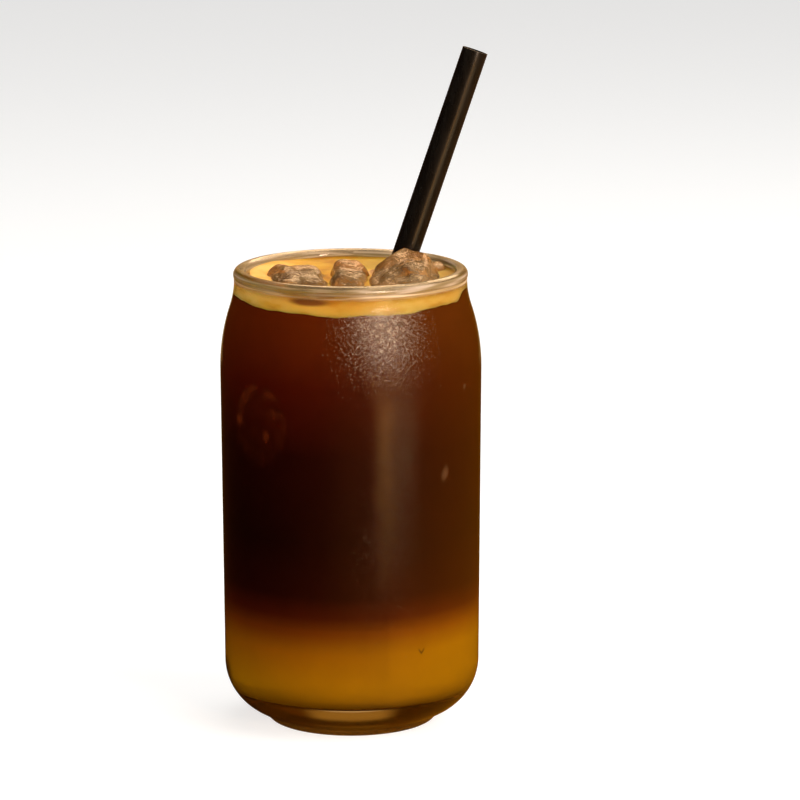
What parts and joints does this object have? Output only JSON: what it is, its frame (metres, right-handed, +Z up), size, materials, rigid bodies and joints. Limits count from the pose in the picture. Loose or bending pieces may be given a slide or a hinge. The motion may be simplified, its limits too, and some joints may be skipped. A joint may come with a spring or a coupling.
{
  "type": "iced espresso drink in a glass",
  "caption": "Iced espresso romano in a can-shaped glass: citrus juice, dark coffee and pale crema in layers, with ice lumps standing out of the crema and a black straw.",
  "frame": {"origin": "on the glass's axis, in the plane its foot rests on", "axes": "+Z up along the glass; -Y towards the viewer; +X to the viewer's right, the way the straw leans"},
  "size_m": [0.0776, 0.076, 0.1965],
  "materials": {
    "clear_glass": "clear, smooth",
    "juice": "clear amber liquid",
    "coffee": "dark clear liquid",
    "crema": "fine foam",
    "ice": "wet, stained with coffee",
    "straw": "satin black"
  },
  "bodies": {
    "root": {"glass": "clear_glass", "juice": "juice", "coffee": "coffee", "crema": "crema", "ice_left": "ice", "ice_middle": "ice", "ice_right": "ice", "ice_side": "ice", "straw": "straw"}
  },
  "joints": []
}
